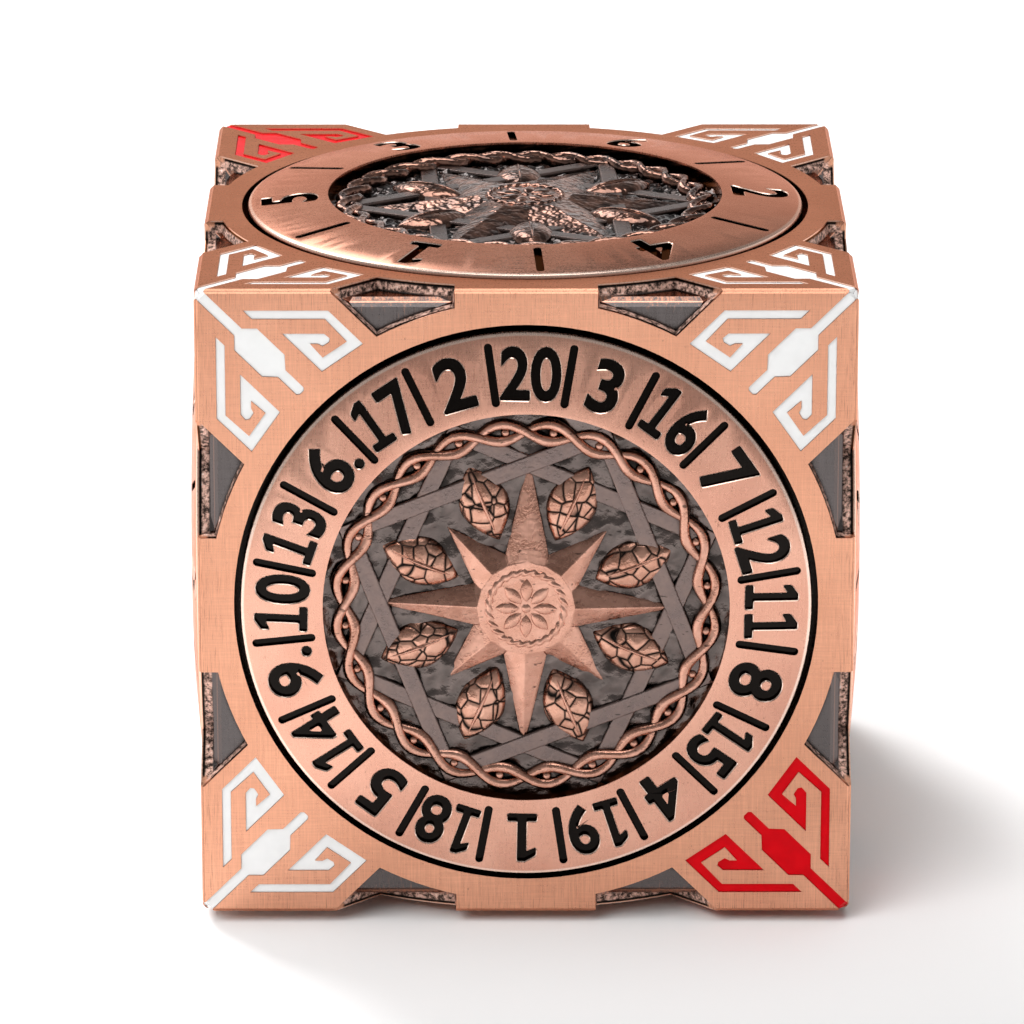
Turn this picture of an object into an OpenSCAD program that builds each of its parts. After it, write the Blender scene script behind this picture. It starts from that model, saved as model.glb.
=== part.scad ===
// Spinner dice cube: a metal cube whose six faces each carry a numbered dial on its own ball bearing.
// A flick sets a dial turning, and the number that stops nearest the face's red corner is the roll.
// The origin is the middle of the base, where the lower dial's land meets the table. +Z is up and -Y
// is the front. Every piece of a face is drawn once, lying flat with the plate's outside at z = 0,
// and is then turned on to the face that it belongs to.

/* [Cube] */
// Side of the cube, measured over its face plates
cube_side = 40; // [33:0.5:50]
// Thickness of each face plate
plate_t = 4; // [3.3:0.1:5]
// Chamfer along the cube's edges
edge_chamfer = 0.25; // [0.1:0.05:0.4]
// Amount taken off each of the cube's eight corners
corner_cut = 0.5; // [0.2:0.1:0.8]

/* [Dial wells] */
// Metal left between a well and the middle of each cube edge
well_margin = 2.2; // [1.8:0.1:3]
// Depth of the well that a dial turns in
well_depth = 1.6; // [1.2:0.1:1.7]
// Width of the raised collar round each well
collar_w = 1.5; // [1:0.1:2]
// Hole in the well's floor that the axle's collar passes through
floor_hole_d = 10.6; // [9.6:0.2:11.4]

/* [Edge notches] */
// Depth of the dark notches along the cube's edges
notch_depth = 0.8; // [0.4:0.1:1.1]
// Width of the tab left at the middle of each edge
tab_w = 8.6; // [6:0.1:12]
// Draft angle of the notches' walls
notch_draft = 10; // [2:1:14]
// Chamfer on the inner edge where two notches meet
notch_chamfer = 0.5; // [0.2:0.1:0.8]

/* [Enamel ornament] */
// Depth of the recesses that hold the enamel
enamel_recess = 0.4; // [0.3:0.05:0.6]
// How far the enamel lies below the plate
enamel_sink = 0.08; // [0.02:0.02:0.14]

/* [Dials] */
// Running gap between a dial and its well
dial_gap = 0.36; // [0.2:0.02:0.6]
// Air under a dial, between its back and the well's floor
dial_float = 0.2; // [0.14:0.02:0.3]
// Height of a dial's outer edge above the plate
rim_rise = 0.2; // [0.1:0.05:0.5]
// Height of a dial's crest above the plate
crest_rise = 0.7; // [0.55:0.05:1.1]
// Radius that rounds a dial's outer edge
rim_round = 0.25; // [0.1:0.05:0.4]
// Width of the sloping band that carries the numbers
band_w = 5.05; // [4:0.05:6]
// Width of the flat land on the crest
land_w = 0.3; // [0.2:0.05:0.6]
// Depth of the medallion's ground below the crest
ground_depth = 1.1; // [0.95:0.05:1.2]
// Width of the grooves that part the numbers
groove_w = 0.5; // [0.3:0.05:0.7]
// Depth of those grooves
groove_depth = 0.3; // [0.15:0.05:0.4]
// Metal left between a groove's ends and the edges of the band
groove_inset = 0.56; // [0.3:0.02:0.9]
// Height of the medallion's star above its ground
star_rise = 0.95; // [0.5:0.05:1.1]

/* [Bearings and axles] */
// Bore of the ball bearing
bearing_bore = 6.35; // [6:0.05:8]
// Outside diameter of the ball bearing
bearing_od = 12.7; // [12:0.1:14]
// Width of the ball bearing
bearing_w = 4.76; // [4:0.01:6]
// Diameter of one ball
ball_d = 1.588; // [1.2:0.01:2]
// Balls in one bearing
ball_count = 10; // [8:1:11]
// Running clearance round a ball
ball_slack = 0.04; // [0.03:0.01:0.06]
// Diameter of the axle's collar, between the dial and the bearing
collar_d = 8; // [7.4:0.1:8.3]
// Diameter of the spigot pressed into the back of the dial
spigot_d = 4; // [3:0.1:5]
// Length of that spigot
spigot_l = 0.6; // [0.4:0.05:0.65]
// Length of axle that shows behind the bearing
axle_tail = 0.3; // [0.1:0.1:1]

/* [Core and screws] */
// Chamfer along the edges of the inner core
core_chamfer = 0.8; // [0.4:0.1:1.5]
// Diameter of the three bores that cross in the core
cross_bore_d = 10; // [9:0.2:11]
// Thread diameter of the plate screws
screw_d = 2; // [1.6:0.1:2.5]
// Head diameter of the plate screws
screw_head_d = 3.8; // [3:0.1:4.4]
// Width of the cross recess in a screw's head
recess_w = 0.4; // [0.3:0.05:0.6]
// Clearance round a screw in its plate, all round
screw_slack = 0.1; // [0.05:0.05:0.2]

/* [Hidden] */
$fn = 96;
past = 1;                       // how far a cutter runs past the face that it opens
seat_slack = 0.01;              // line-to-line fits, such as the axle in the bearing
screw_sink = 0.05;              // how far a screw's head lies below the well's floor
screw_wall = 0.6;               // least metal beside a screw
end_gap = 0.3;                  // left beyond the end of a pin or screw in a blind hole
half = cube_side / 2;
well_r = half - well_margin;
notch_r = well_r + collar_w;
dial_r = well_r - dial_gap;
dial_back = dial_float - well_depth;
crest_r = dial_r - band_w;      // the number band ends here and the medallion begins
ground = crest_rise - ground_depth;
band_slope = atan((crest_rise - rim_rise) / (band_w - land_w));
corner_r = half * sqrt(3) - corner_cut;     // the sphere that takes the cube's corners off
core_side = cube_side - 2 * plate_t;
bearing_front = -plate_t;       // the bearing lies flush with the core's face
bearing_back = bearing_front - bearing_w;
bearing_mid = (bearing_front + bearing_back) / 2;
pitch_r = (bearing_bore + bearing_od) / 4;
race_gap = ball_d * 0.34;       // from the balls' circle to the shoulder of either race
screw_xy = (well_r - screw_head_d / 2 - screw_wall) / sqrt(2);
screw_head_h = (screw_head_d - screw_d) / 2 + 0.2;
// Screws of neighbouring plates point at each other's sides, so each stops short of the next one.
screw_l = half - well_depth - screw_xy - screw_d / 2 - screw_wall;

// The corner ornament is drawn on a grid that puts 21 units between the cube's corner and the well.
fret_unit = (half * sqrt(2) - well_r) / 21;
notch_skew = 16.1 * fret_unit;  // from a corner plate's diagonal to its notched side, along the edge
// One side of the bar that lies on the corner's diagonal: distance from the corner, half width
bar = [[-1, 0.65], [7.5, 0.65], [8.8, 1.95], [13.5, 1.95], [14.9, 0.65], [18, 0.65], [18.3, 0.35]];
// The angular hook beside the bar: distance from the corner along the edge, distance in from the edge
hook = [[5.9, 2.6], [16.2, 2.6], [20.4, 6.8], [15.4, 10.3], [10.6, 5.5], [15.7, 5.5], [16.4, 6.1],
        [16.3, 6.6], [15.5, 7.1], [14.9, 6.8], [14, 6.8], [15.5, 8.5], [18.4, 6.5], [15.8, 3.7], [7, 3.7]];

// Each face: its name, the turn that stands it in place, the quarter turns from its upper right corner
// to its red one, its numbers, the way its first number points at rest, and its star's points, with
// their long and short reach over the ground
FACES = [["front", [90, 0, 0], 3, 20, 89, [8, 0.84, 0.56]], ["right", [90, 0, 90], 2, 10, 90, [10, 0.8, 0.8]],
         ["back", [90, 0, 180], 0, 12, 90, [12, 0.84, 0.62]], ["left", [90, 0, 270], 1, 8, 90, [8, 0.8, 0.8]],
         ["top", [0, 0, 0], 1, 6, 123, [6, 0.82, 0.82]], ["bottom", [180, 0, 0], 0, 4, 90, [4, 0.84, 0.84]]];
PIECES = ["plate", "screws", "bearing_outer", "bearing_balls", "bearing_cage", "bearing_inner", "axle"];

copper = "#d9906c";
zinc = "#8d8f92";
steel = "#c8ccd0";
cage_brass = "#b79a52";

// Turns what is drawn flat on to one of the cube's faces.
module on_face(face) {
    translate([0, 0, half + crest_rise]) rotate(face[1]) translate([0, 0, half]) children();
}

// Repeats what is drawn for the right half of the upper edge, both ways round and on all four edges.
module eight_ways() {
    for (turn = [0:90:270]) rotate(turn) {
        children();
        mirror([1, 0, 0]) children();
    }
}

// The four screws of a plate, counted from the well's floor.
module screw_places() {
    for (turn = [0:90:270]) rotate(turn) translate([screw_xy, screw_xy, -well_depth]) children();
}

module ball_places() {
    for (i = [0:ball_count - 1]) rotate(360 * i / ball_count) translate([pitch_r, 0, bearing_mid]) children();
}

// One corner of the ornament, at the face's upper right: a bar on the diagonal between two hooks.
module fret() {
    other_side = [for (i = [len(bar) - 1:-1:0]) [bar[i][0], -bar[i][1]]];
    translate([half, half]) {
        rotate(225) scale(fret_unit) polygon(concat(bar, other_side));
        scale(-fret_unit) polygon(hook);
        scale(-fret_unit) polygon([for (p = hook) [p[1], p[0]]]);
    }
}

// The ornament on the listed corners, filled between two heights.
module frets(corners, low, high) {
    for (corner = corners) rotate(90 * corner) translate([0, 0, low]) linear_extrude(high - low) fret();
}

// A bar with the plate's section: chamfered at the cube's edges and mitred at 45 degrees inside.
module mitred_bar(inset) {
    c = edge_chamfer;
    edge = half - inset;
    side = [[edge - c, 0], [edge - c / 2, -c / 2], [edge - plate_t, -plate_t]];
    other_side = [for (i = [len(side) - 1:-1:0]) [-side[i][0], side[i][1]]];
    rotate([90, 0, 0]) linear_extrude(cube_side, center = true) polygon(concat(side, other_side));
}

// What belongs to one face near the cube's surface: inside its four mitres and the cut corners.
module face_outline(inset, sink) {
    intersection() {
        mitred_bar(inset);
        rotate(90) mitred_bar(inset);
        translate([0, 0, -half]) sphere(r = corner_r - sink, $fn = 192);
    }
}

// Section of a notch beyond a drafted wall, which meets the face at the given distance.
module beyond_wall(distance) {
    lean = tan(notch_draft);
    polygon([[distance + well_depth * lean, -well_depth], [cube_side, -well_depth],
             [cube_side, past], [distance - past * lean, past]]);
}

// One notch, at the right of the upper edge: between the corner plate, the collar and the middle tab.
module notch() {
    reach = half + past;
    lip = half - notch_depth;
    c = notch_chamfer;
    difference() {
        intersection() {
            translate([0, reach, 0]) rotate([90, 0, 0]) linear_extrude(reach) beyond_wall(tab_w / 2);
            rotate(45) rotate([90, 0, 90]) linear_extrude(cube_side) beyond_wall(notch_skew / sqrt(2));
            rotate([90, 0, 90]) linear_extrude(reach)
                polygon([[0, past], [0, -notch_depth], [lip - c, -notch_depth],
                         [lip - c / 2, -notch_depth - c / 2], [reach, -notch_depth - c / 2], [reach, past]]);
        }
        translate([0, 0, -well_depth]) cylinder(r1 = notch_r + well_depth * tan(notch_draft),
            r2 = notch_r - past * tan(notch_draft), h = well_depth + past);
    }
}

// Face plate: a casting with mitred edges, a round well, eight notches and the ornament's recesses.
module plate() {
    color(copper) difference() {
        face_outline(0, 0);
        translate([0, 0, -well_depth]) cylinder(r = well_r, h = well_depth + past);
        translate([0, 0, -plate_t - past]) cylinder(d = floor_hole_d, h = plate_t);
        eight_ways() notch();
        frets([0:3], -enamel_recess, past);
        screw_places() {
            translate([0, 0, -plate_t]) cylinder(d = screw_d + 2 * screw_slack, h = plate_t);
            translate([0, 0, -screw_head_h])
                cylinder(d1 = screw_d, d2 = screw_head_d, h = screw_head_h + seat_slack);
        }
    }
}

// Enamel poured into the ornament: white in three corners of every face and red in the fourth.
module enamel(corners) {
    intersection() {
        frets(corners, -enamel_recess, -enamel_sink);
        face_outline(seat_slack, enamel_sink);
    }
}

module white_enamel() {
    color("white") for (face = FACES) on_face(face) enamel([for (i = [1:3]) face[2] + i]);
}

module red_enamel() {
    color("#c8101c") for (face = FACES) on_face(face) enamel([face[2]]);
}

// Flat-headed screws with a cross recess, their heads just under the well's floor.
module screws() {
    lean = (screw_head_d - screw_d) / screw_head_h;
    color(steel) screw_places() difference() {
        union() {
            translate([0, 0, -screw_head_h]) cylinder(d1 = screw_d - 2 * seat_slack,
                d2 = screw_head_d - 2 * seat_slack - screw_sink * lean, h = screw_head_h - screw_sink);
            translate([0, 0, -screw_l])
                cylinder(d = screw_d - 2 * seat_slack, h = screw_l - screw_head_h / 2);
        }
        for (turn = [0, 90]) rotate(turn) translate([-screw_head_d / 4, -recess_w / 2, -screw_head_h / 2])
            cube([screw_head_d / 2, recess_w, screw_head_h]);
    }
}

// Points round a circle of changing radius, from the first number, at one height.
function turned(radii, z) = [for (i = [0:len(radii) - 1]) let (a = 360 * i / len(radii))
                             [radii[i] * cos(a), radii[i] * sin(a), z]];

// Faceted star: short walls, then facets with a ridge to each tip and a valley between, up to a flat top.
module star(points, long, short) {
    n = 2 * points;
    valley = crest_r * short * (points < 6 ? 0.3 : 0.5);
    outline = [for (i = [0:n - 1]) i % 2 == 1 ? valley : crest_r * (i % 4 == 0 ? long : short)];
    flat_top = [for (i = [0:n - 1]) crest_r * 0.24];
    facets = [for (level = [0, n], i = [0:n - 1])
              let (a = level + i, b = level + (i + 1) % n)
              each i % 2 == 0 ? [[a, a + n, b + n], [a, b + n, b]] : [[a, a + n, b], [b, a + n, b + n]]];
    polyhedron(concat(turned(outline, ground - seat_slack), turned(outline, ground + star_rise / 5),
                      turned(flat_top, ground + star_rise)),
               concat([[for (i = [0:n - 1]) i]], facets, [[for (i = [n - 1:-1:0]) 2 * n + i]]));
}

// A groove with round ends, cut square to the sloping band, midway between two numbers.
module groove() {
    inner = crest_r + groove_inset + groove_w / 2;
    outer = dial_r - groove_inset - groove_w / 2;
    middle = (inner + outer) / 2;
    surface = rim_rise + (dial_r - middle) * tan(band_slope);
    translate([middle, 0, surface]) rotate([0, band_slope, 0]) translate([0, 0, -groove_depth])
        linear_extrude(groove_depth + past) {
            square([outer - inner, groove_w], center = true);
            for (end = [-1, 1]) translate([end * (outer - inner) / 2, 0]) circle(d = groove_w, $fn = 24);
        }
}

// Dial: a coned band for the numbers round a sunk medallion with a star, cast in one piece.
module dial(face) {
    numbers = face[3];
    color(copper) rotate(face[4]) union() {
        difference() {
            rotate_extrude($fn = 192) polygon([
                [0, dial_back], [dial_r - rim_round, dial_back], [dial_r, dial_back + rim_round],
                [dial_r, rim_rise - rim_round], [dial_r - rim_round * 0.3, rim_rise - rim_round * 0.3],
                [dial_r - rim_round, rim_rise + rim_round * tan(band_slope)],
                [crest_r + land_w, crest_rise], [crest_r, crest_rise], [crest_r, ground], [0, ground]]);
            translate([0, 0, dial_back - past]) cylinder(d = spigot_d, h = spigot_l + past);
            for (i = [0:numbers - 1]) rotate(360 * (i + 0.5) / numbers) groove();
        }
        star(face[5][0], face[5][1], face[5][2]);
    }
}

// Axle: a steel pin turned with a spigot for the dial, a collar, and a journal for the bearing.
module axle() {
    spigot_r = spigot_d / 2 - seat_slack;
    spigot_end = dial_back + spigot_l - screw_sink;
    journal_r = bearing_bore / 2 - seat_slack;
    tail = bearing_back - axle_tail;
    lead = 0.3;
    color(steel) rotate_extrude() polygon([
        [0, tail], [journal_r - lead, tail], [journal_r, tail + lead], [journal_r, bearing_front],
        [collar_d / 2, bearing_front], [collar_d / 2, dial_back], [spigot_r, dial_back],
        [spigot_r, spigot_end], [0, spigot_end]]);
}

// One race of the bearing, between two radii, with the groove that its balls run in.
module race(inner, outer) {
    color(steel) translate([0, 0, bearing_mid]) difference() {
        rotate_extrude() translate([inner, -bearing_w / 2]) square([outer - inner, bearing_w]);
        rotate_extrude() translate([pitch_r, 0]) circle(d = ball_d + 2 * ball_slack, $fn = 48);
    }
}

module bearing_outer() {
    race(pitch_r + race_gap, bearing_od / 2);
}

module bearing_inner() {
    race(bearing_bore / 2, pitch_r - race_gap);
}

module bearing_balls() {
    color(steel) ball_places() sphere(d = ball_d, $fn = 32);
}

// Crown cage: a ring whose open pockets snap over the balls and keep them apart.
module bearing_cage() {
    wall = race_gap - 0.15;
    back = ball_d * 0.75;
    lips = ball_d * 0.2;
    color(cage_brass) difference() {
        rotate_extrude() translate([pitch_r - wall, bearing_mid - back]) square([2 * wall, back + lips]);
        ball_places() sphere(d = ball_d + 2 * ball_slack, $fn = 32);
    }
}

// The core's section: a square with its corners cut off.
module chamfered_square(side, c) {
    h = side / 2;
    polygon([[h, c - h], [h, h - c], [h - c, h], [c - h, h],
             [-h, h - c], [-h, c - h], [c - h, -h], [h - c, -h]]);
}

// Core: the block inside, with a bearing seat in each face, three crossing bores and the screw holes.
module core() {
    color(zinc) translate([0, 0, half + crest_rise]) difference() {
        intersection_for (turn = [[0, 0, 0], [90, 0, 0], [0, 90, 0]])
            rotate(turn) linear_extrude(core_side, center = true) chamfered_square(core_side, core_chamfer);
        for (face = FACES) rotate(face[1]) translate([0, 0, half]) {
            translate([0, 0, bearing_back])
                cylinder(d = bearing_od + 2 * seat_slack, h = bearing_w + past);
            translate([0, 0, -half]) cylinder(d = cross_bore_d, h = half);
            screw_places() translate([0, 0, -screw_l - end_gap]) cylinder(d = screw_d, h = screw_l);
        }
    }
}

core();
white_enamel();
red_enamel();
for (face = FACES) {
    on_face(face) dial(face);
    on_face(face) plate();
    on_face(face) screws();
    on_face(face) bearing_outer();
    on_face(face) bearing_balls();
    on_face(face) bearing_cage();
    on_face(face) bearing_inner();
    on_face(face) axle();
}
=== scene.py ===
import math
import bmesh
import bpy
from mathutils import Euler, Matrix, Vector


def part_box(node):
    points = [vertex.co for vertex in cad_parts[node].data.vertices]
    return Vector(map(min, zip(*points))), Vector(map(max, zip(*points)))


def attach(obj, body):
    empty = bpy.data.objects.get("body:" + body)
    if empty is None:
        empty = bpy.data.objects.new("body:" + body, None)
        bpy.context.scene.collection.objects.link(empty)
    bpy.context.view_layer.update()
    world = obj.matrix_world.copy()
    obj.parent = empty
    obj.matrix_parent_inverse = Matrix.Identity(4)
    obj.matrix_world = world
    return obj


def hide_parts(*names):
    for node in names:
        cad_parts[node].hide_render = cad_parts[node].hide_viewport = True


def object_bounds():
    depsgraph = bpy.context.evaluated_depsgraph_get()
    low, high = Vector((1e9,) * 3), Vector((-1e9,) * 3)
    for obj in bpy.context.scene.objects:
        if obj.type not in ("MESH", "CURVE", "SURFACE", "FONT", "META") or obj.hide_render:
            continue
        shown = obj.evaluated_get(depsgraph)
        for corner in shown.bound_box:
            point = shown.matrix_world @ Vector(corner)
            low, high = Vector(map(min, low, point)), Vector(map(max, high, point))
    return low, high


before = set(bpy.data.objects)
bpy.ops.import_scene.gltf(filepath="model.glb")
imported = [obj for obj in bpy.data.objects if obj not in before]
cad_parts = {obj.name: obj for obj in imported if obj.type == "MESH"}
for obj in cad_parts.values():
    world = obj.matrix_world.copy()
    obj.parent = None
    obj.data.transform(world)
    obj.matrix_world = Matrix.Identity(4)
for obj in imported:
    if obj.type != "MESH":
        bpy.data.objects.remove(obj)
cad_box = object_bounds()
mm = 0.001

# The camera stands at the front, a little above the cube, and looks down on it from 0.42 m.
cube_half = -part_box("front_plate")[0].y
centre_z = (cad_box[0][2] + cad_box[1][2]) / 2
camera_back = -0.39941
camera_left = -0.00165
camera_over_centre = 0.12787
pitch_down = math.radians(17.809)
camera_yaw = math.radians(-0.119)
lens_mm = 230.95

camera = bpy.data.objects.new("camera", bpy.data.cameras.new("camera"))
bpy.context.scene.collection.objects.link(camera)
camera.location = (camera_left, camera_back, centre_z + camera_over_centre)
camera.rotation_euler = (math.pi / 2 - pitch_down, 0, camera_yaw)
camera.data.lens = lens_mm
camera.data.sensor_width = 36
camera.data.clip_start = 0.01
bpy.context.scene.camera = camera

# Two soft round lamps: one high at the back on the left, whose shadow falls to the front and right,
# and a wide fill at the front that lifts the enamel and the shadow. The metal mirrors neither of
# them: it mirrors the room, which comes below.
def stand_lamp(name, size, energy, place):
    """Adds a round lamp that shines at the middle of the cube."""
    lamp = bpy.data.objects.new(name, bpy.data.lights.new(name, "AREA"))
    bpy.context.scene.collection.objects.link(lamp)
    lamp.data.shape = "DISK"
    lamp.data.size = size
    lamp.data.energy = energy
    lamp.location = place
    lamp.rotation_euler = (Vector((0, 0, centre_z)) - lamp.location).to_track_quat("-Z", "Y").to_euler()
    lamp.visible_glossy = False


stand_lamp("window_lamp", 0.35, 6.6, (-0.36, 0.62, 0.62))
stand_lamp("front_fill", 0.6, 4.4, (-0.35, -0.45, 0.6))

# A white table, wide enough to fill the view, painted smooth and matt. For the camera its near edge is
# painted a light grey, a painted shade for the light falling off towards the front, but the metal mirrors
# it as white all over.
table_size = 0.9
table_in_front = 0.2
bpy.ops.object.select_all(action="DESELECT")
bpy.ops.mesh.primitive_plane_add(size=table_size, location=(0, table_size / 2 - table_in_front, 0))
table = bpy.context.object
table.name = "table_top"


class Bench:
    """The node tree of one material, or of the room, and short ways to add nodes to it."""

    def __init__(self, owner):
        owner.use_nodes = True
        self.tree = owner.node_tree

    def add(self, kind, values, **settings):
        node = self.tree.nodes.new("ShaderNode" + kind)
        for key, value in settings.items():
            setattr(node, key, value)
        for key, value in values.items():
            if isinstance(value, bpy.types.NodeSocket):
                self.tree.links.new(value, node.inputs[key])
            else:
                node.inputs[key].default_value = value
        return node.outputs[0]

    def calc(self, operation, *values):
        return self.add("Math", dict(enumerate(values)), operation=operation)

    def ramp(self, value, low, high, start=0.0, end=1.0):
        """Runs from start to end as the value goes from low to high, and stays level beyond."""
        return self.add("MapRange", {0: value, 1: low, 2: high, 3: start, 4: end})

    def mix(self, share, first, second):
        return self.add("MixRGB", {0: share, 1: first, 2: second})

    def band(self, value, low, high, soft):
        """1 between low and high, and 0 outside, with soft ends."""
        rise = self.ramp(value, low - soft, low)
        return self.calc("MULTIPLY", rise, self.ramp(value, high, high + soft, 1.0, 0.0))

    def hollows(self, reach):
        """Towards 0 in those hollows of a piece that are narrower than reach, in mm."""
        shade = self.add("AmbientOcclusion", {"Distance": reach * mm}, samples=4, only_local=True)
        return shade.node.outputs["AO"]

    def seen(self):
        """1 for what the camera sees directly."""
        return self.tree.nodes.new("ShaderNodeLightPath").outputs["Is Camera Ray"]


table_paint = bpy.data.materials.new("table_white")
bench = Bench(table_paint)
on_table = bench.tree.nodes.new("ShaderNodeTexCoord").outputs["Object"]
across_table = bench.add("SeparateXYZ", {0: on_table}).node.outputs["Y"]
cube_line = table_in_front - table_size / 2
# Painted shade: the table turns greyer towards its front edge, only where the camera sees it, for the light
# falling off.
falloff_towards_front = bench.ramp(across_table, cube_line - 0.02, cube_line - 0.09)
painted_front_shade = bench.calc("MULTIPLY", falloff_towards_front, bench.seen())
skin = bench.tree.nodes["Principled BSDF"]
table_colour = bench.mix(painted_front_shade, (0.9, 0.9, 0.9, 1), (0.7, 0.69, 0.69, 1))
bench.tree.links.new(table_colour, skin.inputs["Base Color"])
skin.inputs["Roughness"].default_value = 0.9
table.data.materials.append(table_paint)

# The room, for polished metal to mirror: white low down at the back and greyer behind the camera,
# dim above that, with a bright window at the back on the left and a bright ceiling right overhead.
# The camera sees it as white.
def grey(light):
    return (light, light, light, 1)


room = bpy.data.worlds.new("room")
bpy.context.scene.world = room
sky = Bench(room)
direction = sky.tree.nodes.new("ShaderNodeTexCoord").outputs["Generated"]
sky_axes = sky.tree.nodes.new("ShaderNodeSeparateXYZ")
sky.tree.links.new(direction, sky_axes.inputs[0])
upward = sky.calc("MAXIMUM", sky_axes.outputs["Z"], 0.0)
at_back = sky.ramp(sky_axes.outputs["Y"], -0.5, 0.6)
low_light = sky.calc("MULTIPLY_ADD", at_back, 0.62, 0.38)
wall_light, upper_light, window_light, ceiling_light = 0.33, 0.15, 4.5, 3.2
room_light = sky.mix(sky.ramp(upward, 0.04, 0.42), low_light, grey(wall_light))
room_light = sky.mix(sky.band(upward, 0.6, 0.86, 0.1), room_light, grey(upper_light))
room_light = sky.mix(sky.ramp(upward, 0.92, 0.95), room_light, grey(ceiling_light))
to_window = tuple(Vector((-0.3, 0.62, 0.6)).normalized())
near_window = sky.add("VectorMath", {0: direction, 1: to_window}, operation="DOT_PRODUCT")
near_window = near_window.node.outputs["Value"]
room_light = sky.mix(sky.ramp(near_window, 0.965, 0.985), room_light, grey(window_light))
above_table = sky.ramp(sky_axes.outputs["Z"], -0.02, 0.0)
floor_light = sky.mix(at_back, (0.42, 0.4, 0.39, 1), grey(0.85))
room_light = sky.mix(above_table, floor_light, room_light)
room_light = sky.mix(sky.seen(), room_light, grey(1))
sky.tree.links.new(room_light, sky.tree.nodes["Background"].inputs["Color"])

# Face plates: six castings of zinc alloy, plated with copper and brushed, that meet on mitres at the cube's
# edges and are screwed to the core. Their notches are stained dark and rubbed back a little. The walls of
# the well and the enamel recesses are painted black, a painted shade, and their edges have a thin bright
# line painted on, a painted highlight.
well_r = 17.8
notch_depth = 0.8
faces = ["front", "right", "back", "left", "top", "bottom"]


def solid_copy(node, name, flat=0.5):
    """Copies a CAD node, welds its triangles together and clears flat faces of their inner edges."""
    bpy.ops.object.select_all(action="DESELECT")
    piece = bpy.data.objects.new(name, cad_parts[node].data.copy())
    bpy.context.scene.collection.objects.link(piece)
    bpy.context.view_layer.objects.active = piece
    piece.select_set(True)
    bpy.ops.mesh.customdata_custom_splitnormals_clear()
    bpy.ops.object.mode_set(mode="EDIT")
    bpy.ops.mesh.select_all(action="SELECT")
    bpy.ops.mesh.remove_doubles(threshold=2e-6)
    bpy.ops.mesh.dissolve_limited(angle_limit=math.radians(flat))
    bpy.ops.object.mode_set(mode="OBJECT")
    return piece


def break_edges(piece, width, sharp=28):
    """Rounds a piece's sharp edges by a small width in mm, and keeps its broad faces true."""
    bpy.ops.object.select_all(action="DESELECT")
    piece.select_set(True)
    bpy.context.view_layer.objects.active = piece
    edges = piece.modifiers.new("edges", "BEVEL")
    edges.width = width * mm
    edges.segments = 2
    edges.limit_method = "ANGLE"
    edges.angle_limit = math.radians(sharp)
    edges.use_clamp_overlap = False
    bpy.ops.object.modifier_apply(modifier="edges")
    bpy.ops.object.shade_smooth_by_angle(angle=math.radians(60))
    faces_true = piece.modifiers.new("faces_true", "WEIGHTED_NORMAL")
    faces_true.keep_sharp = True
    bpy.ops.object.modifier_apply(modifier="faces_true")


def dress(piece, material):
    """Gives a piece one material all over."""
    piece.data.materials.clear()
    piece.data.materials.append(material)


def place_on_cube(bench):
    """Measures in mm of a point on the cube: where it is from the middle, its depth below the
    nearest face's plane, its distance from that face's axis, and how far it is towards that face's
    nearest edge, where half the cube's side is the edge itself."""
    where = bench.tree.nodes.new("ShaderNodeTexCoord").outputs["Object"]
    where = bench.add("VectorMath", {0: where, 1: (0, 0, -centre_z)}, operation="ADD")
    where = bench.add("VectorMath", {0: where, "Scale": 1000}, operation="SCALE")
    size = bench.add("VectorMath", {0: where}, operation="ABSOLUTE")
    x, y, z = bench.add("SeparateXYZ", {0: size}).node.outputs
    far = bench.calc("MAXIMUM", bench.calc("MAXIMUM", x, y), z)
    near = bench.calc("MINIMUM", bench.calc("MINIMUM", x, y), z)
    total = bench.calc("ADD", bench.calc("ADD", x, y), z)
    edgeward = bench.calc("SUBTRACT", total, bench.calc("ADD", far, near))
    depth = bench.calc("SUBTRACT", cube_half / mm, far)
    squares = bench.calc("MULTIPLY_ADD", near, near, bench.calc("MULTIPLY", edgeward, edgeward))
    return where, depth, bench.calc("SQRT", squares), edgeward


def grain(bench, where, stretch, scale, detail=3.0, rough=0.6):
    """Noise drawn out along the axes by the given amounts."""
    drawn = bench.add("VectorMath", {0: where, 1: stretch}, operation="MULTIPLY")
    return bench.add("TexNoise", {"Vector": drawn, "Scale": scale, "Detail": detail, "Roughness": rough})


def brushed_copper(name, bright, dull, brush, gloss):
    """Copper plate with a brushed grain, faint dark flecks and a slow change of tone. Returns the
    material and what a piece's own touches are added to: bench, shader, places, colour, roughness."""
    material = bpy.data.materials.new(name)
    bench = Bench(material)
    places = place_on_cube(bench)
    where = places[0]
    upright = grain(bench, where, (1, 1, 0.04), 9, 4)
    across = grain(bench, where, (0.04, 1, 1), 9, 4)
    strokes = bench.calc("MULTIPLY_ADD", across, 0.4, bench.calc("MULTIPLY", upright, 0.6))
    tone = grain(bench, where, (1, 1, 1), 0.16, 2)
    flecks = grain(bench, where, (1, 1, 0.5), 3.5, 3, 0.7)
    in_strokes = tuple(0.62 * part for part in dull[:3]) + (1,)
    colour = bench.mix(bench.ramp(tone, 0.35, 0.7), dull, bright)
    colour = bench.mix(bench.ramp(strokes, 0.62, 0.38, 0, brush), colour, in_strokes)
    colour = bench.mix(bench.ramp(flecks, 0.66, 0.74, 0, 0.5), colour, (0.16, 0.07, 0.045, 1))
    rough = bench.ramp(strokes, 0.3, 0.7, gloss - 0.08, gloss + 0.1)
    bump = bench.add("Bump", {"Strength": 0.35, "Distance": 0.004 * mm, "Height": strokes})
    skin = bench.tree.nodes["Principled BSDF"]
    bench.tree.links.new(bump, skin.inputs["Normal"])
    skin.inputs["Metallic"].default_value = 1
    skin.inputs["Specular Tint"].default_value = (1.0, 0.62, 0.5, 1)
    return material, bench, skin, places, colour, rough


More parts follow.
